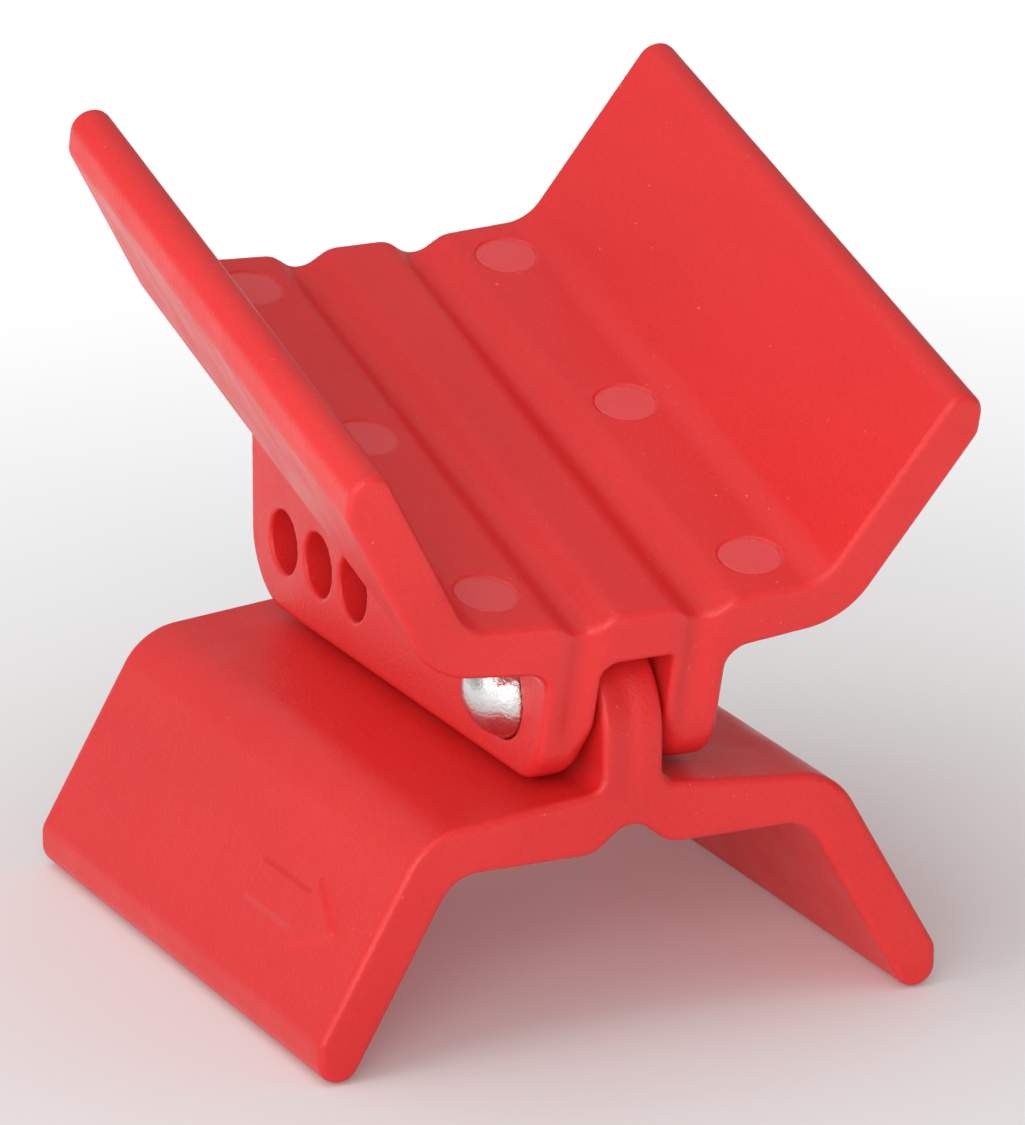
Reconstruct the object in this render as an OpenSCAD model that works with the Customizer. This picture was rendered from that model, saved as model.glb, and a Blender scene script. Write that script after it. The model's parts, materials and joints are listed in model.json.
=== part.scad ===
// Wedge-shaped padlockable lockout: two moulded channel jaws joined by a capped pivot rod.
// The lower jaw opens downwards and carries a centre rib; the upper jaw opens upwards and
// straddles that rib with two cheeks. Padlock shackles pass through the cheeks and the rib.
// Units are millimetres. X is across the jaws, +Y runs from the pivot end to the rear, +Z is up.
// The origin is the centre of the footprint, on the surface that the wing tips stand on.

/* [Jaws] */
// Length of each jaw along its channel
jaw_len = 76.2; // [60:0.1:100]
// Half of the overall width, at the upright facet of each wing tip
half_w = 36.2; // [34:0.1:38]
// Slope of the wings, measured from the channel web
wing_angle = 60.3; // [58:0.1:62]
// Radius of the rounded wing tips
tip_r = 2.4; // [2:0.1:2.5]
// Outside radius of the fold between web and wing
fold_r = 8.5; // [6:0.1:9]
// Inside radius of the fold between web and wing
fold_in_r = 4.5; // [3:0.1:5]

/* [Lower jaw] */
// Wall thickness of the lower wings
low_wing_t = 5.5; // [5:0.1:6]
// Half distance between the outside corners of the lower folds
low_fold_half = 24; // [23:0.1:25]
// Height of the web's crown above its fold corners
low_crown = 2.2; // [1:0.1:2.5]
// Depth of the flat underside of the web below its fold corners
low_web_t = 5.1; // [4.5:0.1:6]
// Thickness of the centre rib
rib_t = 7; // [6:0.1:7.2]
// Height of the rib's top edge above the fold corners
rib_top = 18.6; // [18:0.1:19]
// Radius of the rib's rounded front edge, seen from the side
rib_front_r = 9.8; // [9:0.1:10]
// Radius of the fillets at the foot of the rib
rib_fillet = 1.8; // [1.5:0.1:2.8]

/* [Upper jaw] */
// Angle between the two jaws when they are closed
pitch = 16.2; // [15:0.1:17]
// Wall thickness of the upper wings
up_wing_t = 5.7; // [5.2:0.1:6]
// Half distance between the inside corners of the upper channel
up_floor_half = 20.5; // [19.5:0.1:21]
// Fall of the floor from its corners to its centre line
floor_fall = 1.2; // [0.8:0.1:1.4]
// Depth of the outside fold corners below the floor corners
up_fold_drop = 5.4; // [5:0.1:5.8]
// Depth of the crown of the underside below the floor corners
up_crown = 8.3; // [8:0.1:8.6]
// Height of the floor corners' front end above the lower fold corners
up_front_z = 22.5; // [22:0.1:23]
// Overhang of the floor corners' front end past the lower jaw's front face
up_front_y = 3.1; // [2.5:0.1:3.5]
// Distance of each floor groove from the centre line
groove_x = 6.9; // [6.6:0.1:7.2]

/* [Cheeks] */
// Half width over the two cheeks
cheek_half = 10.4; // [10:0.1:11]
// Width of the slot between the cheeks
slot_w = 8.2; // [8:0.1:8.4]
// Depth of the slot's roof below the floor corners
slot_roof = 6.7; // [6.5:0.1:7]
// Height of the cheeks' bottom edge above the lower fold corners
cheek_bottom = 2.4; // [2.3:0.1:2.6]
// Radius of the cheeks' lower front corner, seen from the side
cheek_front_r = 6; // [5:0.1:6.5]
// Radius of the cheeks' lower rear corner, seen from the side
cheek_rear_r = 8; // [7:0.1:9]
// Fillet between the cheeks and the underside of the floor
cheek_fillet = 2.6; // [2:0.1:3]

/* [Padlock holes] */
// Radius of the padlock holes
lock_r = 3.6; // [3.4:0.05:3.8]
// Number of padlock holes
lock_count = 3; // [1:1:3]
// Distance from one padlock hole to the next
lock_pitch = 9.25; // [9:0.05:9.5]
// Distance of the rearmost padlock hole from the rear face
lock_rear = 9; // [8.5:0.1:9.5]
// Height of the padlock holes above the lower fold corners
lock_z = 10.8; // [10.5:0.1:11.2]

/* [Pivot] */
// Distance of the pivot axis behind the lower jaw's front face
pivot_y = 11; // [10.5:0.1:12]
// Height of the pivot axis above the lower fold corners
pivot_z = 10.8; // [10.4:0.1:11.4]
// Radius of the pivot rod
rod_r = 2.5; // [2.2:0.1:2.8]
// Radial clearance of the rod in the jaws
rod_gap = 0.06; // [0.02:0.01:0.1]
// Radius of the round recess in each cheek
recess_r = 5.3; // [5.2:0.1:5.8]
// Depth of the round recess in each cheek
recess_depth = 1.3; // [1:0.1:2]
// Outside radius of the domed caps
cap_r = 5.1; // [4.9:0.1:5.1]
// Sheet thickness of the domed caps
cap_t = 0.5; // [0.4:0.1:0.6]
// Height of the caps' straight skirt
cap_skirt = 1.2; // [1:0.1:1.6]
// Height of the dome above the skirt
cap_dome = 4; // [3.4:0.1:4.2]
// Sheet thickness of the toothed lock rings inside the caps
ring_t = 0.5; // [0.4:0.1:0.6]
// Number of gripping teeth on each lock ring
ring_teeth = 6; // [4:1:8]

/* [Hidden] */
$fn = 96;
eps = 0.01;
bleed = 0.3;                   // how far a rounding cutter runs past the edges it rounds
graze = 0.004;                 // how far a rounding circle crosses the edges it rounds
jaw_red = [0.82, 0.09, 0.09];
steel = [0.78, 0.77, 0.74];
far = 60;                      // reach of cutting shapes past the part

rib_half = rib_t / 2;
slot_half = slot_w / 2;
rib_arc_z = 7.2;               // height at which the rib's rounded front begins
rib_brow = 58;                 // angle turned by the rib's front arc before it runs straight to the top
tip_facet_r = 2;               // rounding between a wing's outer face and its upright facet
groove_half = 3.4;             // half width of a floor groove between its shoulders
groove_slope = 34;             // slope of a groove's outer flank below level
land_fall = 0.55;              // how far the middle land lies below the floor corners
groove_r = 2.8;                // radius at the bottom of a groove
groove_shoulder_r = 3.2;       // radius of a groove's shoulders
relief_half = 4.4;             // half width of the relief under the rib
relief_apex = -1.5;            // height of the corner that the relief's flanks point at
relief_r = 3.2;                // radius at the top of the relief
relief_shoulder_r = 4;         // radius of the relief's shoulders
slot_corner_r = 1.2;           // radius in the slot's roof corners
cheek_outer_r = 1.0;           // rounding along the outer bottom edge of a cheek
cheek_inner_r = 3.1;           // rounding along the inner bottom edge of a cheek
cheek_rear_y = jaw_len - 0.1;  // rear face of the cheeks
cap_seat = 0.05;               // gap between a cap's rim and the recess floor
cap_lip = 0.8;                 // inward reach of the rolled rim that holds a lock ring
tooth_bite = 0.05;             // how far the ring's teeth press into the rod
arrow_proud = 0.35;            // height of the raised arrow on the left lower wing

tip_reach = tip_r / tan((90 - wing_angle) / 2);
low_inner_x = low_fold_half - low_wing_t / sin(wing_angle) + low_web_t / tan(wing_angle);
low_tip_z = -low_web_t - (half_w - low_inner_x) * tan(wing_angle);
tip_bottom = low_tip_z + tip_reach - tip_r;
up_tip_z = (half_w - up_floor_half) * tan(wing_angle);
up_outer_x = up_floor_half + up_wing_t / sin(wing_angle) - up_fold_drop / tan(wing_angle);
tip_top = up_tip_z - tip_reach + tip_r;
front_y = -up_front_y - tip_top * sin(pitch);
mid_y = (front_y + jaw_len) / 2;
recess_x = cheek_half - recess_depth;
cap_x = recess_x + cap_seat;

function unit(v) = v / norm(v);
function cross2(a, b) = a[0] * b[1] - a[1] * b[0];
function mirrored(pts) = [for (i = [len(pts) - 1:-1:0]) [-pts[i][0], pts[i][1]]];
function flipped(list) = [for (i = [len(list) - 1:-1:0]) list[i]];
function crown_at(x) = low_crown * (1 - x / low_fold_half);
function floor_at(x) = -floor_fall * (1 - x / up_floor_half);
function under_at(x) = -up_crown + (up_crown - up_fold_drop) * x / up_outer_x;

// Kite over corner q of the outline p-q-s, less the circle that rounds the corner.
// The kite runs a little past both edges and the circle just crosses them.
module corner_kite(p, q, s, r) {
    u = unit(p - q);
    v = unit(s - q);
    half = acos(u * v) / 2;
    reach = r / tan(half);
    centre = q + unit(u + v) * r / sin(half);
    past = 1 + bleed / r;
    difference() {
        polygon([centre, centre + (q + u * reach - centre) * past, q + unit(q - centre) * bleed * 3,
                 centre + (q + v * reach - centre) * past]);
        translate(centre) circle(r + graze);
    }
}

// Counter-clockwise polygon with a true arc of radius radii[i] at each corner i
module round_profile(pts, radii) {
    n = len(pts);
    turns = [for (i = [0:n - 1]) cross2(pts[i] - pts[(i + n - 1) % n], pts[(i + 1) % n] - pts[i])];
    difference() {
        union() {
            polygon(pts);
            for (i = [0:n - 1])
                if (radii[i] > 0 && turns[i] < 0)
                    corner_kite(pts[(i + n - 1) % n], pts[i], pts[(i + 1) % n], radii[i]);
        }
        for (i = [0:n - 1])
            if (radii[i] > 0 && turns[i] > 0)
                corner_kite(pts[(i + n - 1) % n], pts[i], pts[(i + 1) % n], radii[i]);
    }
}

// Turn an XZ outline into a bar along +Y from y = 0
module along_y(length) {
    translate([0, length, 0]) rotate([90, 0, 0]) linear_extrude(length) children();
}

// Turn a YZ outline into a slab centred on x = 0
module across_x(width) {
    translate([-width / 2, 0, 0]) rotate([90, 0, 90]) linear_extrude(width) children();
}

// Cylinder along X with its axis at (y, z)
module cross_pin(y, z, r, x0, x1) {
    translate([x0, y, z]) rotate([0, 90, 0]) cylinder(r = r, h = x1 - x0);
}

// Move the design frame's origin to the footprint centre on the standing surface
module placed() {
    translate([0, -mid_y, -tip_bottom]) children();
}

// Place a shape drawn in the upper jaw's own frame
module pitched() {
    translate([0, -up_front_y, up_front_z]) rotate([pitch, 0, 0]) children();
}

module lock_holes() {
    for (i = [0:lock_count - 1])
        cross_pin(jaw_len - lock_rear - i * lock_pitch, lock_z, lock_r, -far, far);
}

module lower_section() {
    right = [
        [relief_half, -low_web_t],
        [low_inner_x, -low_web_t],
        [half_w, low_tip_z],
        [half_w, -(half_w - low_fold_half) * tan(wing_angle)],
        [low_fold_half, 0],
        [rib_half, crown_at(rib_half)],
        [rib_half, rib_arc_z]
    ];
    radii = [relief_shoulder_r, fold_in_r, tip_r, tip_facet_r, fold_r, rib_fillet, 0];
    points = concat([[0, relief_apex]], right, mirrored(right));
    round_profile(points, concat([relief_r], radii, flipped(radii)));
}

// Side view of the rib: rounded brow at the front, straight top, rounded rear corner
module rib_outline() {
    rear_r = 5;
    low = crown_at(rib_half) - 1;
    brow_z = rib_arc_z + rib_front_r * tan(rib_brow / 2);
    brow_run = (rib_top - brow_z) * tan(rib_brow);
    round_profile([[0, low], [jaw_len, low], [jaw_len, rib_top], [brow_run, rib_top], [0, brow_z]],
                  [0, 0, rear_r, 0, rib_front_r]);
}

// Outline of the raised arrow, pointing towards -Y, on the face of the left lower wing
module arrow_outline() {
    tail = 28;
    neck = 15.5;
    point = 7.6;
    line_half = 2.3;
    head_half = 4.3;
    polygon([[tail, -line_half], [tail, line_half], [neck, line_half], [neck, head_half],
             [point, 0], [neck, -head_half], [neck, -line_half]]);
}

module wing_arrow() {
    along_wing = 14.3;
    translate([-low_fold_half, 0, 0]) rotate([0, -wing_angle, 0])
        translate([-along_wing, 0, -1]) linear_extrude(1 + arrow_proud)
            rotate([0, 0, 90]) mirror([0, 1]) arrow_outline();
}

module lower_jaw() {
    color(jaw_red) placed() difference() {
        union() {
            along_y(jaw_len) lower_section();
            across_x(rib_t) rib_outline();
            wing_arrow();
        }
        lock_holes();
        cross_pin(pivot_y, pivot_z, rod_r + rod_gap, -far, far);
    }
}

function groove_points(x) =
    let (apex = floor_at(x) - groove_half * tan(groove_slope))
    [[x + groove_half, floor_at(x + groove_half)], [x, apex], [x - groove_half, -land_fall]];

// The web and wings of the upper jaw, with the roots of the cheeks
module upper_section() {
    deep = under_at(cheek_half) - cheek_fillet - 1;
    right = concat([
        [slot_half, -slot_roof],
        [slot_half, deep],
        [cheek_half, deep],
        [cheek_half, under_at(cheek_half)],
        [up_outer_x, -up_fold_drop],
        [half_w, -up_fold_drop + (half_w - up_outer_x) * tan(wing_angle)],
        [half_w, up_tip_z],
        [up_floor_half, 0]], groove_points(groove_x));
    radii = [slot_corner_r, 0, 0, cheek_fillet, fold_r, tip_facet_r, tip_r, fold_in_r,
             groove_shoulder_r, groove_r, groove_shoulder_r];
    round_profile(concat(right, mirrored(right)), concat(radii, flipped(radii)));
}

// The cheeks before their edges are shaped, in the upper jaw's own frame
module cheek_slabs() {
    overlap = 1;
    for (side = [0, 1]) mirror([side, 0, 0])
        translate([slot_half, 0, -far])
            cube([cheek_half - slot_half, jaw_len, far + under_at(cheek_half) - overlap]);
}

// Side view of everything that the upper jaw may fill
module upper_outline() {
    drop = up_front_z - cheek_bottom;
    foot_y = -up_front_y + drop * tan(pitch) - eps;
    round_profile([[foot_y, cheek_bottom], [cheek_rear_y, cheek_bottom], [cheek_rear_y, 26],
                   [cheek_rear_y, far + 20], [foot_y - (far + 20 - cheek_bottom) * tan(pitch), far + 20]],
                  [cheek_front_r, cheek_rear_r, 0, 0, 0]);
}

// End view of the same: rounds the bottom edges of the cheeks
module cheek_mask() {
    top = cheek_bottom + 9;
    translate([-far, top - eps]) square([2 * far, far * 2]);
    for (side = [0, 1]) mirror([side, 0])
        round_profile([[slot_half - eps, cheek_bottom], [cheek_half + eps, cheek_bottom],
                       [cheek_half + eps, top], [slot_half - eps, top]],
                      [cheek_inner_r, cheek_outer_r, 0, 0]);
}

module upper_jaw() {
    color(jaw_red) placed() difference() {
        intersection() {
            pitched() union() {
                along_y(jaw_len) upper_section();
                cheek_slabs();
            }
            across_x(2 * far) upper_outline();
            translate([0, -far, 0]) along_y(3 * far) cheek_mask();
        }
        lock_holes();
        cross_pin(pivot_y, pivot_z, rod_r + rod_gap, -far, far);
        for (side = [0, 1]) mirror([side, 0, 0])
            cross_pin(pivot_y, pivot_z, recess_r, recess_x, cheek_half + cheek_fillet);
    }
}

module pivot_rod() {
    half = cap_x + 2.4;
    chamfer = 0.4;
    color(steel) placed() translate([0, pivot_y, pivot_z]) rotate([0, 90, 0])
        rotate_extrude() polygon([[0, -half], [rod_r - chamfer, -half], [rod_r, -half + chamfer],
                                  [rod_r, half - chamfer], [rod_r - chamfer, half], [0, half]]);
}

// A retained piece drawn on +Z from the recess floor, placed on one side of the jaws
module on_side(side) {
    placed() mirror([side, 0, 0]) translate([cap_x, pivot_y, pivot_z]) rotate([0, 90, 0]) children();
}

// Half section of the domed cap: rolled rim, skirt and dome
module cap_section() {
    dome_r = (cap_r * cap_r + cap_dome * cap_dome) / (2 * cap_dome);
    intersection() {
        square([cap_r, cap_skirt + cap_dome]);
        difference() {
            union() {
                square([cap_r, cap_skirt]);
                translate([0, cap_skirt + cap_dome - dome_r]) circle(dome_r);
            }
            difference() {
                translate([0, cap_skirt + cap_dome - dome_r]) circle(dome_r - cap_t);
                square([far, cap_skirt - cap_t / 2]);
                translate([0, -far * 2]) square([far, far * 2]);
            }
            translate([-eps, cap_t]) square([cap_r - cap_t + eps, cap_skirt - cap_t]);
            translate([-eps, -eps]) square([cap_r - cap_t - cap_lip + eps, cap_t + 2 * eps]);
        }
    }
}

module domed_cap(side) {
    color(steel) on_side(side) rotate_extrude() cap_section();
}

module left_cap() { domed_cap(1); }

module right_cap() { domed_cap(0); }

// Toothed spring-steel ring that grips the rod inside a cap
module lock_ring(side) {
    ring_r = cap_r - cap_t - 0.1;
    slit_r = (rod_r + ring_r) / 2;
    slit_w = 0.8;
    color(steel) on_side(side) translate([0, 0, cap_t + 0.05]) difference() {
        cylinder(r = ring_r, h = ring_t);
        translate([0, 0, -eps]) cylinder(r = rod_r - tooth_bite, h = ring_t + 2 * eps);
        for (i = [0:ring_teeth - 1]) rotate([0, 0, i * 360 / ring_teeth])
            translate([0, -slit_w / 2, -eps]) cube([slit_r, slit_w, ring_t + 2 * eps]);
    }
}

module left_lock_ring() { lock_ring(1); }

module right_lock_ring() { lock_ring(0); }

lower_jaw();
upper_jaw();
pivot_rod();
left_cap();
right_cap();
left_lock_ring();
right_lock_ring();
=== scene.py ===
import json
import math

import bmesh
import bpy
import numpy as np
from mathutils import Matrix, Vector


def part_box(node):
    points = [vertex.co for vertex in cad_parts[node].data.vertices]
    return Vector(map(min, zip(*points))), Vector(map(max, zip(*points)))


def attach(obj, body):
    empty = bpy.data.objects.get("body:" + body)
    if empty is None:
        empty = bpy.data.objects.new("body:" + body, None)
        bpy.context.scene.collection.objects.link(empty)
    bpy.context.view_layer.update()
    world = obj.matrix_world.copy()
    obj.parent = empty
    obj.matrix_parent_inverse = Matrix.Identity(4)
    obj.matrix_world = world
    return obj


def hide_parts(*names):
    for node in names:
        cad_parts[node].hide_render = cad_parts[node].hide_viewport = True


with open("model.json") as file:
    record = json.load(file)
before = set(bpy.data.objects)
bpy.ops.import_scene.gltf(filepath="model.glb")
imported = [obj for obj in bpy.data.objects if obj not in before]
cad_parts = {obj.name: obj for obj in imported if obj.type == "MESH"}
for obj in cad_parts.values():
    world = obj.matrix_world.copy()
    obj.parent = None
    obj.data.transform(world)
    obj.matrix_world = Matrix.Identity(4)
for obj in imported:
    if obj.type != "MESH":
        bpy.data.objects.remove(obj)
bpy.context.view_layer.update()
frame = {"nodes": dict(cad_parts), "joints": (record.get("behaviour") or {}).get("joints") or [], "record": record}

MM = 0.001

# ---------------------------------------------------------------------------------------------
# The design frame: millimetres, y = 0 on the lower jaw's front face, z = 0 at its outer fold
# corners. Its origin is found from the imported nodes.
# ---------------------------------------------------------------------------------------------
RIB_TOP = 18.6
LOW_BOX = [np.array(corner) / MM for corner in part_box("lower_jaw")]
JAW_LEN = LOW_BOX[1][1] - LOW_BOX[0][1]
DESIGN_ORIGIN = np.array([0.0, LOW_BOX[0][1], LOW_BOX[1][2] - RIB_TOP])
HINGE = frame["joints"][0]
PIVOT = np.array(HINGE["pos_m"]) / MM - DESIGN_ORIGIN
HOLES = [
    np.array(m["pos_m"]) / MM - DESIGN_ORIGIN
    for m in frame["record"]["mounts"]
    if m["kind"] == "bore"
]
HOLE_R = 3.6
ROD_BORE_R = 2.56

WING_ANGLE = math.radians(60.3)
WING_SLOPE = math.tan(WING_ANGLE)
HALF_W = LOW_BOX[1][0]
TIP_R = 2.4
FACET_R = 2.0

PITCH = math.radians(16.2)
UP_FRONT = np.array([0.0, -3.1, 22.5])
CHEEK_HALF = 10.4
CHEEK_BOTTOM = 2.4
SLOT_HALF = 4.1
CHEEK_MIDDLE = (CHEEK_HALF + SLOT_HALF) / 2
RECESS_R = 5.3
RECESS_DEPTH = 1.3

EDGE_R = 0.8
RIM_R = 0.45
BORE_RIM_R = 0.2
CELL = 0.5


# ---------------------------------------------------------------------------------------------
# Signed distances, negative inside the material
# ---------------------------------------------------------------------------------------------
def round_and(a, b, r):
    """Intersection of two solids, with their shared edge rounded to radius r."""
    return np.minimum(np.maximum(a, b), -r) + np.hypot(np.maximum(a + r, 0), np.maximum(b + r, 0))


def step(value, low, high):
    """0 below low, 1 above high, smooth between."""
    t = np.clip((value - low) / (high - low), 0, 1)
    return t * t * (3 - 2 * t)


class Outline:
    """A chain of straight edges joined by true arcs. The material is on its left."""

    def __init__(self, points, radii, closed=True):
        points = [np.array(p, float) for p in points]
        count = len(points)
        self.lines, self.arcs = [], []
        starts, ends = list(points), list(points)
        for i in range(0 if closed else 1, count if closed else count - 1):
            corner, r = points[i], max(radii[i], 0.02)
            back = points[i - 1] - corner
            ahead = points[(i + 1) % count] - corner
            back /= np.hypot(*back)
            ahead /= np.hypot(*ahead)
            half = math.acos(float(np.clip(back @ ahead, -1, 1))) / 2
            middle = (back + ahead) / np.hypot(*(back + ahead))
            turn = math.copysign(1, ahead[1] * back[0] - ahead[0] * back[1])
            ends[i] = corner + back * r / math.tan(half)
            starts[i] = corner + ahead * r / math.tan(half)
            self.arcs.append((corner + middle * r / math.sin(half), r, -middle, math.sin(half), -turn))
        for i in range(count if closed else count - 1):
            self.lines.append((starts[i], ends[(i + 1) % count]))

    def distance(self, u, v):
        best = np.full(np.broadcast(u, v).shape, np.inf)
        signed = np.zeros(best.shape)
        for a, b in self.lines:
            along = b - a
            t = np.clip(((u - a[0]) * along[0] + (v - a[1]) * along[1]) / (along @ along), 0, 1)
            gap = np.hypot(u - a[0] - t * along[0], v - a[1] - t * along[1])
            right = (u - a[0]) * along[1] - (v - a[1]) * along[0] > 0
            nearer = gap < best
            best = np.where(nearer, gap, best)
            signed = np.where(nearer, np.where(right, gap, -gap), signed)
        for centre, r, middle, cos_half, turn in self.arcs:
            du, dv = u - centre[0], v - centre[1]
            reach = np.hypot(du, dv)
            gap = np.abs(reach - r)
            nearer = (du * middle[0] + dv * middle[1] >= reach * cos_half) & (gap < best)
            best = np.where(nearer, gap, best)
            signed = np.where(nearer, (reach - r) * turn, signed)
        return signed


# ---------------------------------------------------------------------------------------------
# Lower jaw, in the design frame
# ---------------------------------------------------------------------------------------------
FAR = 90.0
LOW_FOLD = 24.0
LOW_CROWN = 2.2
LOW_WEB = 5.1
LOW_WALL = 5.5
RIB_HALF = 3.5
RIB_ARC_Z = 7.2
RIB_FRONT_R = 9.8
RIB_BROW = math.radians(58)
RIB_BROW_R = 1.5
RIB_REAR_R = 5
RIB_FILLET_R = 1.8
RIB_FLUTE_X = -0.4
RIB_FLUTE_WIDTH = 1.3
RIB_FLUTE_DEPTH = 0.4
RIB_FLUTE_FADE = 5
RELIEF_HALF = 4.4
RELIEF_TOP = -1.5
RELIEF_TOP_R = 3.2
RELIEF_FOOT_R = 4
LOW_INNER_R = 4.8
LOW_OUTER_R = 8.0


def low_section():
    inner = LOW_FOLD - LOW_WALL / math.sin(WING_ANGLE) + LOW_WEB / WING_SLOPE
    crown = LOW_CROWN * (1 - RIB_HALF / LOW_FOLD)
    points = [
        (-RELIEF_HALF, -LOW_WEB), (0, RELIEF_TOP), (RELIEF_HALF, -LOW_WEB), (inner, -LOW_WEB),
        (HALF_W, -LOW_WEB - (HALF_W - inner) * WING_SLOPE), (HALF_W, -(HALF_W - LOW_FOLD) * WING_SLOPE),
        (LOW_FOLD, 0), (RIB_HALF, crown), (RIB_HALF, FAR),
    ]
    radii = [0, RELIEF_TOP_R, RELIEF_FOOT_R, LOW_INNER_R, TIP_R, FACET_R, LOW_OUTER_R, RIB_FILLET_R, 0]
    return Outline(points, radii, closed=False)


def low_side():
    brow_z = RIB_ARC_Z + RIB_FRONT_R * math.tan(RIB_BROW / 2)
    brow_run = (RIB_TOP - brow_z) * math.tan(RIB_BROW)
    points = [(0, -FAR), (JAW_LEN, -FAR), (JAW_LEN, RIB_TOP), (brow_run, RIB_TOP), (0, brow_z)]
    return Outline(points, [0, 0, RIB_REAR_R, RIB_BROW_R, RIB_FRONT_R])


LOW_SECTION, LOW_SIDE = low_section(), low_side()


def along_wing(x, y, z):
    """Distance down the left wing from its fold corner, and height above the wing's outer face."""
    cos, sin = math.cos(WING_ANGLE), math.sin(WING_ANGLE)
    down = (-x - LOW_FOLD) * cos - z * sin
    proud = (-x - LOW_FOLD) * sin + z * cos
    return down, proud


ARROW_TAIL_Y = 28
ARROW_NECK_Y = 15.5
ARROW_POINT_Y = 7.6
ARROW_R = 0.3
ARROW_PROUD = 0.42
ARROW = Outline([(ARROW_TAIL_Y, 12), (ARROW_TAIL_Y, 16.6), (ARROW_NECK_Y, 16.6), (ARROW_NECK_Y, 18.6),
                 (ARROW_POINT_Y, 14.3), (ARROW_NECK_Y, 10), (ARROW_NECK_Y, 12)], [ARROW_R] * 7)


def lower_jaw(x, y, z):
    section = LOW_SECTION.distance(np.abs(x), z)
    flute = RIB_FLUTE_DEPTH * np.exp(-((x - RIB_FLUTE_X) / RIB_FLUTE_WIDTH) ** 2)
    flute = flute * step(z, -1, 5) * step(-z, -17, -12)
    side = LOW_SIDE.distance(y, z) + flute * np.exp(-(y / RIB_FLUTE_FADE) ** 2)
    solid = round_and(section, side, EDGE_R)
    for hole in HOLES:
        solid = round_and(solid, HOLE_R - np.hypot(y - hole[1], z - hole[2]), RIM_R)
    solid = round_and(solid, ROD_BORE_R - np.hypot(y - PIVOT[1], z - PIVOT[2]), BORE_RIM_R)
    down, proud = along_wing(x, y, z)
    mark = step(-ARROW.distance(y, down), -0.35, 0.4)
    return solid - ARROW_PROUD * mark * (proud > -2) * (x < 0)


# ---------------------------------------------------------------------------------------------
# Upper jaw, in its own frame: y' = 0 on its front face, z' = 0 at the floor corners
# ---------------------------------------------------------------------------------------------
UP_FLOOR = 20.5
UP_FALL = 1.2
UP_DROP = 5.4
UP_CROWN = 8.3
UP_LAND = 0.55
UP_WALL = 5.7
GROOVE_X = 6.9
GROOVE_HALF = 3.4
GROOVE_SLOPE = math.radians(34)
GROOVE_R = 2.8
GROOVE_SHOULDER_R = 3.2
SLOT_ROOF = -6.7
SLOT_R_LEFT = 1.9
SLOT_R_RIGHT = 1.0
UP_CORNER_R = 4.5
UP_FOLD_R = 9.0
UP_REAR_R = 3
UP_REAR_GAP = 0.1
CHEEK_FILLET_R = 2.6
CHEEK_FRONT_R = 6
CHEEK_REAR_R = 8
CHEEK_INNER_EDGE_R = 3.1
CHEEK_OUTER_EDGE_R = 1.0
CHEEK_FLUTE_X = 6.7
CHEEK_FLUTE_WIDTH = 1.6
CHEEK_FLUTE_DEPTH = 0.95
CHEEK_FLUTE_FADE = 4
MARK_X = 15.3
MARK_R = 3.43
MARKS_Y = (7.2, 38.2, 69.5)
MARK_DIP = 0.14
MARK_RIM_DIP = 0.16
MARK_RIM_WIDTH = 0.13
MARK_LOW, MARK_HIGH = -3, 4


def floor_height(x):
    return -UP_FALL * (1 - x / UP_FLOOR)


def up_section(slot_r):
    """Section of the web, wings and cheeks, with radius slot_r in the slot's roof corners."""
    shoulder_x = GROOVE_X + GROOVE_HALF
    shoulder_z = floor_height(shoulder_x)
    outer = UP_FLOOR + UP_WALL / math.sin(WING_ANGLE) - UP_DROP / WING_SLOPE
    under = -UP_CROWN + (UP_CROWN - UP_DROP) * CHEEK_HALF / outer
    apex = floor_height(GROOVE_X) - GROOVE_HALF * math.tan(GROOVE_SLOPE)
    points = [
        (-SLOT_HALF, SLOT_ROOF), (SLOT_HALF, SLOT_ROOF), (SLOT_HALF, -FAR), (CHEEK_HALF, -FAR),
        (CHEEK_HALF, under), (outer, -UP_DROP), (HALF_W, -UP_DROP + (HALF_W - outer) * WING_SLOPE),
        (HALF_W, (HALF_W - UP_FLOOR) * WING_SLOPE), (UP_FLOOR, 0),
        (shoulder_x, shoulder_z), (GROOVE_X, apex),
        (GROOVE_X - GROOVE_HALF, -UP_LAND), (-GROOVE_X, -UP_LAND),
    ]
    radii = [0, slot_r, 0, 0, CHEEK_FILLET_R, UP_FOLD_R, FACET_R, TIP_R, UP_CORNER_R,
             GROOVE_SHOULDER_R, GROOVE_R, GROOVE_SHOULDER_R, 0]
    return Outline(points, radii, closed=False)


def to_design(y, z):
    """Upper jaw's own (y', z') to the design frame's (y, z)."""
    cos, sin = math.cos(PITCH), math.sin(PITCH)
    return UP_FRONT[1] + y * cos - z * sin, UP_FRONT[2] + y * sin + z * cos


def up_side():
    rise = UP_FRONT[2] - CHEEK_BOTTOM
    rear = JAW_LEN - UP_REAR_GAP
    corner_z = UP_FRONT[2] + (JAW_LEN - (rear - UP_FRONT[1]) * math.cos(PITCH)) / math.sin(PITCH)
    top = to_design(JAW_LEN, FAR)
    front = to_design(0, FAR)
    points = [
        (UP_FRONT[1] + rise * math.tan(PITCH), CHEEK_BOTTOM), (rear, CHEEK_BOTTOM),
        (rear, corner_z), top, front,
    ]
    return Outline(points, [CHEEK_FRONT_R, CHEEK_REAR_R, UP_REAR_R, 0, 0])


UP_LEFT, UP_RIGHT, UP_SIDE = up_section(SLOT_R_LEFT), up_section(SLOT_R_RIGHT), up_side()


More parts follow.
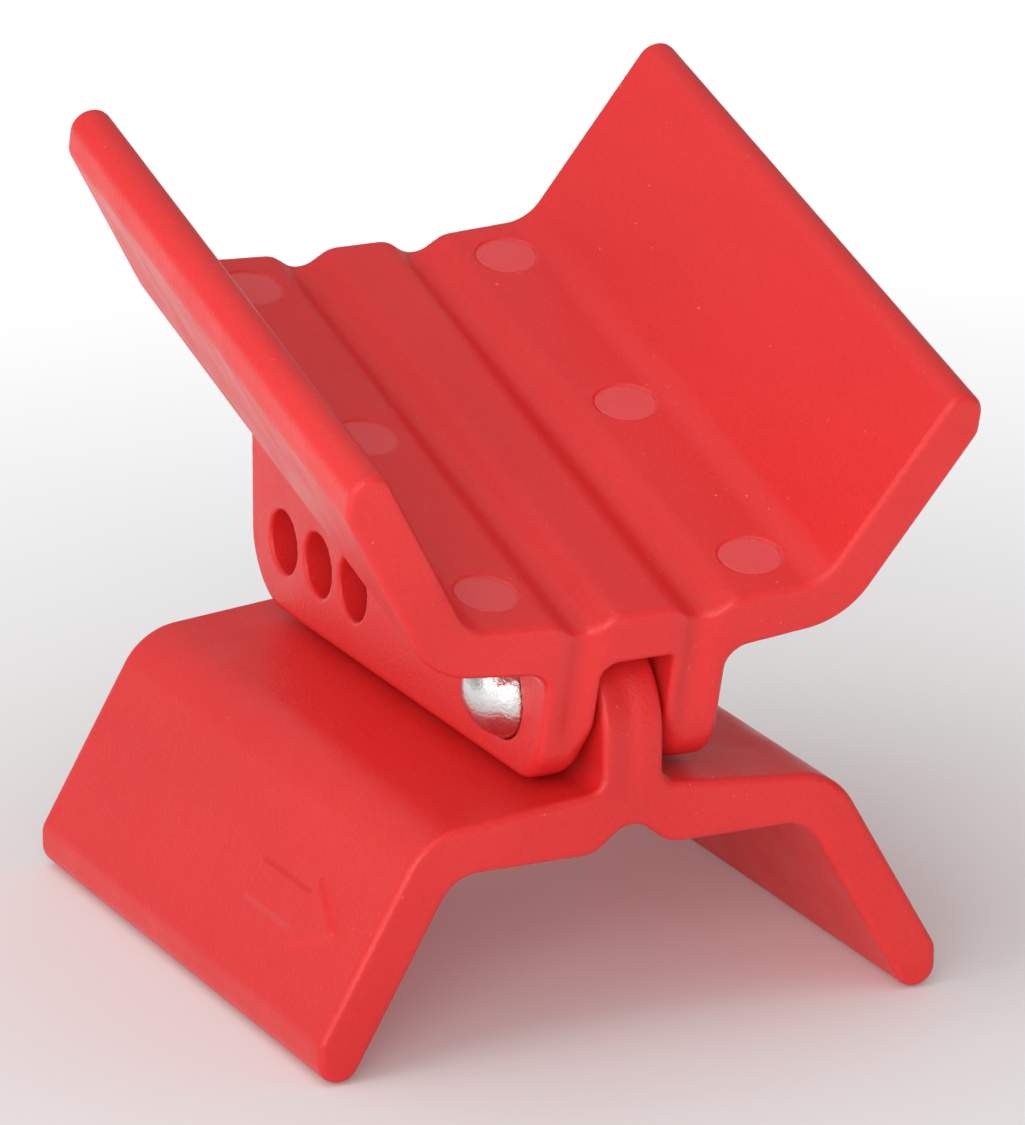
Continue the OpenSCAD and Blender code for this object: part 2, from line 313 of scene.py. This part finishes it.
def upper_jaw(x, y, z):
    across = np.abs(x)
    design_y, design_z = to_design(y, z)
    section = np.where(x < 0, UP_LEFT.distance(across, z), UP_RIGHT.distance(across, z))
    flute = CHEEK_FLUTE_DEPTH * np.exp(-((across - CHEEK_FLUTE_X) / CHEEK_FLUTE_WIDTH) ** 2)
    flute = flute * step(design_z, 4, 12)
    side = UP_SIDE.distance(design_y, design_z) + flute * np.exp(-(y / CHEEK_FLUTE_FADE) ** 2)
    low_edge = step(-design_z, -CHEEK_BOTTOM - 7, -CHEEK_BOTTOM - 3)
    bottom_r = np.where(across < CHEEK_MIDDLE, CHEEK_INNER_EDGE_R, CHEEK_OUTER_EDGE_R)
    edge = EDGE_R + (bottom_r - EDGE_R) * low_edge
    solid = round_and(section, side, edge)
    bore = np.hypot(design_y - PIVOT[1], design_z - PIVOT[2])
    recess = np.maximum(bore - RECESS_R, CHEEK_HALF - RECESS_DEPTH - across)
    solid = round_and(solid, -recess, BORE_RIM_R)
    solid = round_and(solid, ROD_BORE_R - bore, BORE_RIM_R)
    for hole in HOLES:
        solid = round_and(solid, HOLE_R - np.hypot(design_y - hole[1], design_z - hole[2]), RIM_R)
    for mark_y in MARKS_Y:
        off = np.hypot(across - MARK_X, y - mark_y) - MARK_R
        dip = MARK_DIP * step(-off, -0.05, 0.12) + MARK_RIM_DIP * np.exp(-(off / MARK_RIM_WIDTH) ** 2)
        solid = solid + dip * ((z > MARK_LOW) & (z < MARK_HIGH))
    return solid


# ---------------------------------------------------------------------------------------------
# Meshing: a surface net on a grid, drawn onto the true surface
# ---------------------------------------------------------------------------------------------
def surface_net(field, low, cell):
    """Quads around the zero surface of a sampled field, and their vertices."""
    inside = field < 0
    shape = field.shape
    cells = tuple(n - 1 for n in shape)
    total = np.zeros(cells + (3,))
    hits = np.zeros(cells)
    edges = []
    for axis in range(3):
        a = [slice(None)] * 3
        b = [slice(None)] * 3
        a[axis], b[axis] = slice(0, -1), slice(1, None)
        fa, fb = field[tuple(a)], field[tuple(b)]
        index = np.argwhere(inside[tuple(a)] != inside[tuple(b)])
        at = tuple(index.T)
        t = fa[at] / (fa[at] - fb[at])
        point = index.astype(float)
        point[:, axis] += t
        others = [k for k in range(3) if k != axis]
        keep = np.all((index[:, others] > 0) & (index[:, others] < np.array(cells)[others]), axis=1)
        index, point, flip = index[keep], point[keep], inside[tuple(a)][at][keep]
        ring = []
        for du, dv in ((0, 0), (1, 0), (1, 1), (0, 1)):
            spot = index.copy()
            spot[:, others[0]] -= du
            spot[:, others[1]] -= dv
            np.add.at(total, tuple(spot.T), point)
            np.add.at(hits, tuple(spot.T), 1)
            ring.append(np.ravel_multi_index(tuple(spot.T), cells))
        quad = np.stack(ring, 1)
        if axis != 1:
            flip = ~flip
        quad[flip] = quad[flip][:, ::-1]
        edges.append(quad)
    quads = np.concatenate(edges)
    used = np.unique(quads)
    number = np.full(np.prod(cells), -1)
    number[used] = np.arange(len(used))
    points = (total.reshape(-1, 3)[used] / hits.reshape(-1)[used, None]) * cell + low
    return points, number[quads]


def gradient(solid, points, h=0.02):
    parts = []
    for axis in range(3):
        shift = np.zeros(3)
        shift[axis] = h
        ahead, back = (points + shift).T, (points - shift).T
        parts.append((solid(*ahead) - solid(*back)) / (2 * h))
    return np.stack(parts, 1)


def draw_onto(solid, points, rounds, limit):
    """Newton steps that bring points onto the surface."""
    for _ in range(rounds):
        slope = gradient(solid, points)
        size = np.maximum((slope ** 2).sum(1), 0.05)
        move = -slope * (solid(*points.T) / size)[:, None]
        length = np.linalg.norm(move, axis=1, keepdims=True)
        points = points + move * np.minimum(1, limit / np.maximum(length, 1e-9))
    return points


def relax(points, quads, amount):
    """Each point moves towards the mean of its neighbours."""
    total = np.zeros_like(points)
    count = np.zeros(len(points))
    for k in range(4):
        a, b = quads[:, k], quads[:, (k + 1) % 4]
        for one, other in ((a, b), (b, a)):
            total += np.stack([np.bincount(one, points[other, i], len(points)) for i in range(3)], 1)
            count += np.bincount(one, minlength=len(points))
    return points + amount * (total / count[:, None] - points)


def mesh_solid(name, solid, low, high, fine):
    """A mesh of the solid's surface. Faces where fine() holds are divided before the last drawing-in."""
    axes = [np.arange(a - 2 * CELL, b + 2.5 * CELL, CELL) for a, b in zip(low, high)]
    x, y, z = np.meshgrid(*axes, indexing="ij", sparse=True)
    field = solid(x, y, z)
    points, quads = surface_net(field, np.array([axis[0] for axis in axes]), CELL)
    for _ in range(3):
        points = draw_onto(solid, points, 2, CELL)
        points = relax(points, quads, 0.5)
    points = draw_onto(solid, points, 3, CELL / 2)
    mesh = bpy.data.meshes.new(name)
    mesh.from_pydata(points.tolist(), [], quads.tolist())
    shape = bmesh.new()
    shape.from_mesh(mesh)
    near = fine(*points.T)
    shape.edges.ensure_lookup_table()
    chosen = [e for e in shape.edges if near[e.verts[0].index] or near[e.verts[1].index]]
    bmesh.ops.subdivide_edges(shape, edges=chosen, cuts=2, use_grid_fill=True)
    shape.to_mesh(mesh)
    shape.free()
    return mesh


def read_points(mesh):
    flat = np.empty(len(mesh.vertices) * 3)
    mesh.vertices.foreach_get("co", flat)
    return flat.reshape(-1, 3)


def place_mesh(name, mesh, solid, to_frame, turn, sheen_and_finish_weight=None):
    """Draws the points in once more, gives true normals, and moves the mesh to the row frame.
    polish() gives how far each point lies on an ejector mark, which is rougher there (a real finish) and painted
    paler there (painted sheen)."""
    points = draw_onto(solid, read_points(mesh), 4, 0.1)
    if sheen_and_finish_weight is not None:
        layer = mesh.attributes.new("spot", "FLOAT", "POINT")
        layer.data.foreach_set("value", sheen_and_finish_weight(*points.T).astype(np.float32))
    slope = gradient(solid, points, 0.03)
    normals = slope / np.linalg.norm(slope, axis=1, keepdims=True)
    mesh.vertices.foreach_set("co", (to_frame(points) * MM).ravel())
    mesh.polygons.foreach_set("use_smooth", [True] * len(mesh.polygons))
    mesh.update()
    mesh.normals_split_custom_set_from_vertices((normals @ turn.T).tolist())
    piece = bpy.data.objects.new(name, mesh)
    bpy.context.scene.collection.objects.link(piece)
    return piece


def near_arrow(x, y, z):
    down, proud = along_wing(x, y, z)
    return (np.abs(ARROW.distance(y, down)) < 0.9) & (proud > -2) & (x < 0)


def near_mark(x, y, z):
    ring = [np.abs(np.hypot(np.abs(x) - MARK_X, y - at) - MARK_R) < 0.5 for at in MARKS_Y]
    return (ring[0] | ring[1] | ring[2]) & (z > MARK_LOW) & (z < MARK_HIGH)


# Weight of the ejector-mark discs: the material makes them rougher (their real finish) and paler (painted sheen).
def ejector_mark_finish_and_sheen(x, y, z):
    spot = [step(MARK_R - np.hypot(np.abs(x) - MARK_X, y - at), -0.1, 0.1) for at in MARKS_Y]
    return np.max(spot, axis=0) * ((z > MARK_LOW) & (z < MARK_HIGH))


def build_lower_jaw():
    low = np.array([-HALF_W, 0, LOW_BOX[0][2] - DESIGN_ORIGIN[2]])
    high = np.array([HALF_W, JAW_LEN, RIB_TOP])
    mesh = mesh_solid("lower_jaw_shell", lower_jaw, low, high, near_arrow)
    return place_mesh("lower_jaw_shell", mesh, lower_jaw, lambda p: p + DESIGN_ORIGIN, np.eye(3))


def build_upper_jaw():
    cos, sin = math.cos(PITCH), math.sin(PITCH)
    turn = np.array([[1, 0, 0], [0, cos, -sin], [0, sin, cos]])
    low = np.array([-HALF_W, 0, -42.0])
    high = np.array([HALF_W, JAW_LEN, 21.5])
    mesh = mesh_solid("upper_jaw_shell", upper_jaw, low, high, near_mark)
    return place_mesh("upper_jaw_shell", mesh, upper_jaw,
                      lambda p: p @ turn.T + UP_FRONT + DESIGN_ORIGIN, turn, ejector_mark_finish_and_sheen)


# ---------------------------------------------------------------------------------------------
# Caps
# ---------------------------------------------------------------------------------------------
CAP_SHEET = 0.5
CAP_DOME = 4.0
CAP_LIP = 1.3
CAP_TURNS = 128
CAP_STEPS = 32


def build_cap(name, node):
    """Pressed steel cap: rolled rim, straight skirt, soft shoulder and dome, spun about the rod."""
    low, high = [np.array(corner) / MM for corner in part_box(node)]
    outward = 1 if high[0] > 0 else -1
    rim_x, top_x = (low[0], high[0]) if outward > 0 else (high[0], low[0])
    radius = (high[1] - low[1]) / 2
    height = abs(top_x - rim_x)
    skirt = height - CAP_DOME
    ball = (radius ** 2 + CAP_DOME ** 2) / (2 * CAP_DOME)
    widest = math.asin(radius / ball)
    outside = [widest * k / CAP_STEPS for k in range(CAP_STEPS + 1)]
    profile = [(ball * math.sin(a), height - ball + ball * math.cos(a)) for a in outside]
    profile += [(radius, skirt * 0.5), (radius, 0.25), (radius - 0.08, 0.08), (radius - 0.25, 0.0)]
    profile += [(radius - CAP_LIP + 0.2, 0.0), (radius - CAP_LIP, 0.12), (radius - CAP_LIP, CAP_SHEET)]
    profile += [(radius - CAP_SHEET, CAP_SHEET + 0.05)]
    inside = [a * 0.98 for a in reversed(outside[::4])]
    hollow = ball - CAP_SHEET
    profile += [(hollow * math.sin(a), height - ball + hollow * math.cos(a)) for a in inside]
    centre = (low + high) / 2
    verts, faces, rings = [], [], []
    for r, h in profile:
        x = rim_x + outward * h
        if r == 0:
            verts.append((x, centre[1], centre[2]))
            rings.append([len(verts) - 1] * CAP_TURNS)
            continue
        first = len(verts)
        for k in range(CAP_TURNS):
            a = 2 * math.pi * k / CAP_TURNS
            verts.append((x, centre[1] + r * math.cos(a), centre[2] + r * math.sin(a)))
        rings.append(list(range(first, first + CAP_TURNS)))
    for inner, outer in zip(rings, rings[1:]):
        for k in range(CAP_TURNS):
            face = [inner[k], outer[k], outer[(k + 1) % CAP_TURNS], inner[(k + 1) % CAP_TURNS]]
            face = list(dict.fromkeys(face))
            faces.append(face if outward > 0 else face[::-1])
    mesh = bpy.data.meshes.new(name)
    mesh.from_pydata([(Vector(v) * MM) for v in verts], [], faces)
    mesh.polygons.foreach_set("use_smooth", [True] * len(mesh.polygons))
    mesh.update()
    piece = bpy.data.objects.new(name, mesh)
    bpy.context.scene.collection.objects.link(piece)
    return piece


# ---------------------------------------------------------------------------------------------
# Materials
# ---------------------------------------------------------------------------------------------
class Nodes:
    """Short calls for building a node tree."""

    def __init__(self, name):
        self.material = bpy.data.materials.new(name)
        self.material.use_nodes = True
        self.tree = self.material.node_tree
        self.shader = self.tree.nodes["Principled BSDF"]

    def add(self, kind):
        return self.tree.nodes.new(kind)

    def link(self, out, into):
        self.tree.links.new(out, into)

    def noise(self, coords, scale, detail=4.0, roughness=0.5):
        node = self.add("ShaderNodeTexNoise")
        node.inputs["Scale"].default_value = scale
        node.inputs["Detail"].default_value = detail
        node.inputs["Roughness"].default_value = roughness
        self.link(coords, node.inputs["Vector"])
        return node.outputs["Fac"]

    def remap(self, value, low, high, to_low, to_high):
        node = self.add("ShaderNodeMapRange")
        for key, number in (("From Min", low), ("From Max", high), ("To Min", to_low), ("To Max", to_high)):
            node.inputs[key].default_value = number
        self.link(value, node.inputs["Value"])
        return node.outputs["Result"]

    def ramp(self, value, stops):
        node = self.add("ShaderNodeValToRGB")
        ramp = node.color_ramp
        while len(ramp.elements) < len(stops):
            ramp.elements.new(0.5)
        for element, (place, colour) in zip(ramp.elements, stops):
            element.position = place
            element.color = (*colour, 1)
        self.link(value, node.inputs["Fac"])
        return node.outputs["Color"]

    def math(self, kind, a, b):
        node = self.add("ShaderNodeMath")
        node.operation = kind
        for socket, value in zip(node.inputs, (a, b)):
            if isinstance(value, (int, float)):
                socket.default_value = value
            else:
                self.link(value, socket)
        return node.outputs["Value"]

    def mix(self, factor, a, b, kind="MIX"):
        node = self.add("ShaderNodeMix")
        node.data_type = "RGBA"
        node.blend_type = kind
        for socket, value in ((node.inputs["Factor"], factor), (node.inputs["A"], a), (node.inputs["B"], b)):
            if isinstance(value, (int, float)):
                socket.default_value = value
            elif isinstance(value, tuple):
                socket.default_value = (*value, 1)
            else:
                self.link(value, socket)
        return node.outputs["Result"]

    def bump(self, height, strength, distance, under=None):
        node = self.add("ShaderNodeBump")
        node.inputs["Strength"].default_value = strength
        node.inputs["Distance"].default_value = distance
        self.link(height, node.inputs["Height"])
        if under is not None:
            self.link(under, node.inputs["Normal"])
        return node.outputs["Normal"]

    def coords(self, stretch=(1, 1, 1)):
        place = self.add("ShaderNodeTexCoord")
        mapping = self.add("ShaderNodeMapping")
        mapping.inputs["Scale"].default_value = stretch
        self.link(place.outputs["Object"], mapping.inputs["Vector"])
        return mapping.outputs["Vector"]


JAW_RED = (0.81, 0.028, 0.028)
JAW_RED_DEEP = (0.75, 0.022, 0.022)
JAW_RED_PALE = (0.85, 0.035, 0.035)
# Paler, whiter red for the ejector marks: painted sheen.
MARK_SHEEN_RED = (0.80, 0.12, 0.13)


def red_plastic():
    n = Nodes("moulded_red_plastic")
    even = n.coords()
    flow = n.coords((1.0, 0.25, 1.0))
    broad = n.noise(flow, 45, 3)
    fine = n.noise(even, 2600, 2)
    colour = n.ramp(broad, [(0.3, JAW_RED_DEEP), (0.55, JAW_RED), (0.8, JAW_RED_PALE)])
    mottle = n.ramp(n.noise(even, 1700, 3), [(0.3, (0.91, 0.84, 0.84)), (0.7, (1.0, 1.0, 1.0))])
    colour = n.mix(0.7, colour, mottle, "MULTIPLY")
    specks = n.remap(n.noise(even, 1300, 2), 0.74, 0.79, 0, 0.4)
    colour = n.mix(specks, colour, (0.88, 0.40, 0.38))
    # Ejector marks: the paler red mixed in here is painted sheen; the extra roughness below is their real finish.
    spot = n.add("ShaderNodeAttribute")
    spot.attribute_name = "spot"
    colour = n.mix(n.math("MULTIPLY", spot.outputs["Fac"], 0.55), colour, MARK_SHEEN_RED)
    n.link(colour, n.shader.inputs["Base Color"])
    rough = n.remap(n.noise(even, 160, 5), 0.3, 0.7, 0.33, 0.45)
    n.link(n.math("ADD", rough, n.math("MULTIPLY", spot.outputs["Fac"], 0.12)), n.shader.inputs["Roughness"])
    grain = n.bump(fine, 0.30, 0.0002)
    n.link(n.bump(n.noise(even, 320, 4), 0.10, 0.0006, grain), n.shader.inputs["Normal"])
    n.shader.inputs["IOR"].default_value = 1.45
    n.shader.inputs["Subsurface Weight"].default_value = 0.06
    n.shader.inputs["Subsurface Radius"].default_value = (0.002, 0.0004, 0.0004)
    return n.material


def plated_steel():
    n = Nodes("plated_cap_steel")
    even = n.coords()
    n.link(n.ramp(n.noise(even, 260, 4), [(0.35, (0.66, 0.66, 0.65)), (0.7, (0.82, 0.81, 0.79))]),
           n.shader.inputs["Base Color"])
    n.link(n.remap(n.noise(even, 420, 5), 0.3, 0.7, 0.20, 0.34), n.shader.inputs["Roughness"])
    n.link(n.bump(n.noise(even, 2200, 3), 0.40, 0.0002), n.shader.inputs["Normal"])
    n.shader.inputs["Metallic"].default_value = 1.0
    return n.material


def drawn_steel(name, tone, roughness):
    n = Nodes(name)
    lines = n.coords((0.05, 1, 1))
    pale = tuple(min(1, c * 1.2) for c in tone)
    n.link(n.ramp(n.noise(lines, 900, 4), [(0.3, tone), (0.7, pale)]), n.shader.inputs["Base Color"])
    n.link(n.remap(n.noise(lines, 700, 4), 0.3, 0.7, roughness - 0.06, roughness + 0.08),
           n.shader.inputs["Roughness"])
    n.link(n.bump(n.noise(lines, 1800, 3), 0.2, 0.0002), n.shader.inputs["Normal"])
    n.shader.inputs["Metallic"].default_value = 1.0
    return n.material


def floor_painted_glow_and_shadow():
    n = Nodes("floor_painted_glow_and_shadow")
    n.link(n.ramp(n.noise(n.coords(), 12, 3), [(0.3, (0.80, 0.80, 0.80)), (0.7, (0.82, 0.82, 0.82))]),
           n.shader.inputs["Base Color"])
    # The floor glows (painted light), dimmest close to the object and brighter farther out, which paints a soft
    # shadow pool around it.
    distance = n.add("ShaderNodeVectorMath")
    distance.operation = "LENGTH"
    n.link(n.coords(), distance.inputs["Vector"])
    n.link(n.remap(distance.outputs["Value"], 0.05, 0.30, 0.08, 0.52), n.shader.inputs["Emission Strength"])
    n.shader.inputs["Emission Color"].default_value = (1, 1, 1, 1)
    n.shader.inputs["Roughness"].default_value = 0.7
    return n.material


# ---------------------------------------------------------------------------------------------
# Pieces
# ---------------------------------------------------------------------------------------------
def finish_piece(piece, material, body, node):
    piece.data.materials.append(material)
    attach(piece, body)
    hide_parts(node)


def paint_node(node, material):
    piece = frame["nodes"][node]
    piece.data.materials.clear()
    piece.data.materials.append(material)


plastic = red_plastic()
steel = plated_steel()
finish_piece(build_lower_jaw(), plastic, "lower", "lower_jaw")
finish_piece(build_upper_jaw(), plastic, "upper", "upper_jaw")
for side in ("left", "right"):
    finish_piece(build_cap(side + "_cap_dome", side + "_cap"), steel, "upper", side + "_cap")
    paint_node(side + "_lock_ring", drawn_steel(side + "_ring_steel", (0.3, 0.3, 0.31), 0.4))
paint_node("pivot_rod", drawn_steel("rod_steel", (0.6, 0.6, 0.59), 0.28))


# ---------------------------------------------------------------------------------------------
# Floor, light and camera
# ---------------------------------------------------------------------------------------------
FLOOR_GAP = 0.0002
LIGHT_TARGET = (0, 0, 0.045)
CAMERA_PLACE = (-376.1, -764.4, 300.5)
CAMERA_RIGHT = (0.90394, -0.42765, 0.00105)
CAMERA_FORWARD = (0.40741, 0.86041, -0.30614)
CAMERA_LENS = 276.05


def add_floor():
    half = 3.0
    corners = [(-half, -half, 0), (half, -half, 0), (half, half, 0), (-half, half, 0)]
    mesh = bpy.data.meshes.new("floor")
    mesh.from_pydata(corners, [], [(0, 1, 2, 3)])
    floor = bpy.data.objects.new("floor", mesh)
    bpy.context.scene.collection.objects.link(floor)
    floor.data.materials.append(floor_painted_glow_and_shadow())
    floor.location.z = -FLOOR_GAP


def add_softbox(name, place, size, power):
    light = bpy.data.lights.new(name, "AREA")
    light.shape = "RECTANGLE"
    light.size, light.size_y = size, size
    light.energy = power
    lamp = bpy.data.objects.new(name, light)
    bpy.context.scene.collection.objects.link(lamp)
    lamp.location = place
    aim = Vector(LIGHT_TARGET) - Vector(place)
    lamp.rotation_euler = aim.to_track_quat("-Z", "Y").to_euler()
    return lamp


def add_world(horizon, zenith, sideways):
    """White surroundings, brighter overhead than at the horizon and on the left than on the right."""
    world = bpy.data.worlds.new("studio")
    bpy.context.scene.world = world
    world.use_nodes = True
    tree = world.node_tree
    place = tree.nodes.new("ShaderNodeTexCoord")
    split = tree.nodes.new("ShaderNodeSeparateXYZ")
    tree.links.new(place.outputs["Generated"], split.inputs["Vector"])
    rise = tree.nodes.new("ShaderNodeMapRange")
    rise.inputs["To Min"].default_value = horizon
    rise.inputs["To Max"].default_value = zenith
    tree.links.new(split.outputs["Z"], rise.inputs["Value"])
    lean = tree.nodes.new("ShaderNodeMath")
    lean.operation = "MULTIPLY_ADD"
    lean.inputs[1].default_value = -sideways
    tree.links.new(split.outputs["X"], lean.inputs[0])
    tree.links.new(rise.outputs["Result"], lean.inputs[2])
    surround = tree.nodes["Background"]
    surround.inputs["Color"].default_value = (1, 1, 1, 1)
    tree.links.new(lean.outputs["Value"], surround.inputs["Strength"])


def add_camera():
    """A view from far off and to the left of the front, looking down on the upper channel."""
    right = Vector(CAMERA_RIGHT)
    forward = Vector(CAMERA_FORWARD)
    down = forward.cross(right)
    place = Vector(CAMERA_PLACE) + Vector(DESIGN_ORIGIN)
    camera = bpy.data.cameras.new("camera")
    camera.sensor_width = 36
    camera.lens = CAMERA_LENS
    camera.clip_end = 20
    viewer = bpy.data.objects.new("camera", camera)
    bpy.context.scene.collection.objects.link(viewer)
    turn = Matrix((right, -down, -forward)).transposed()
    viewer.matrix_world = Matrix.Translation(place * MM) @ turn.to_4x4()
    bpy.context.scene.camera = viewer


add_floor()
add_world(horizon=0.32, zenith=0.56, sideways=0.13)
add_softbox("key", place=(-0.70, -1.10, 0.50), size=0.8, power=7.2)
add_softbox("side", place=(-1.15, -0.25, 0.50), size=0.7, power=2.5)
add_softbox("top", place=(-0.45, -0.1, 1.2), size=0.8, power=2.5)
add_camera()
bpy.context.scene.view_settings.view_transform = "Standard"
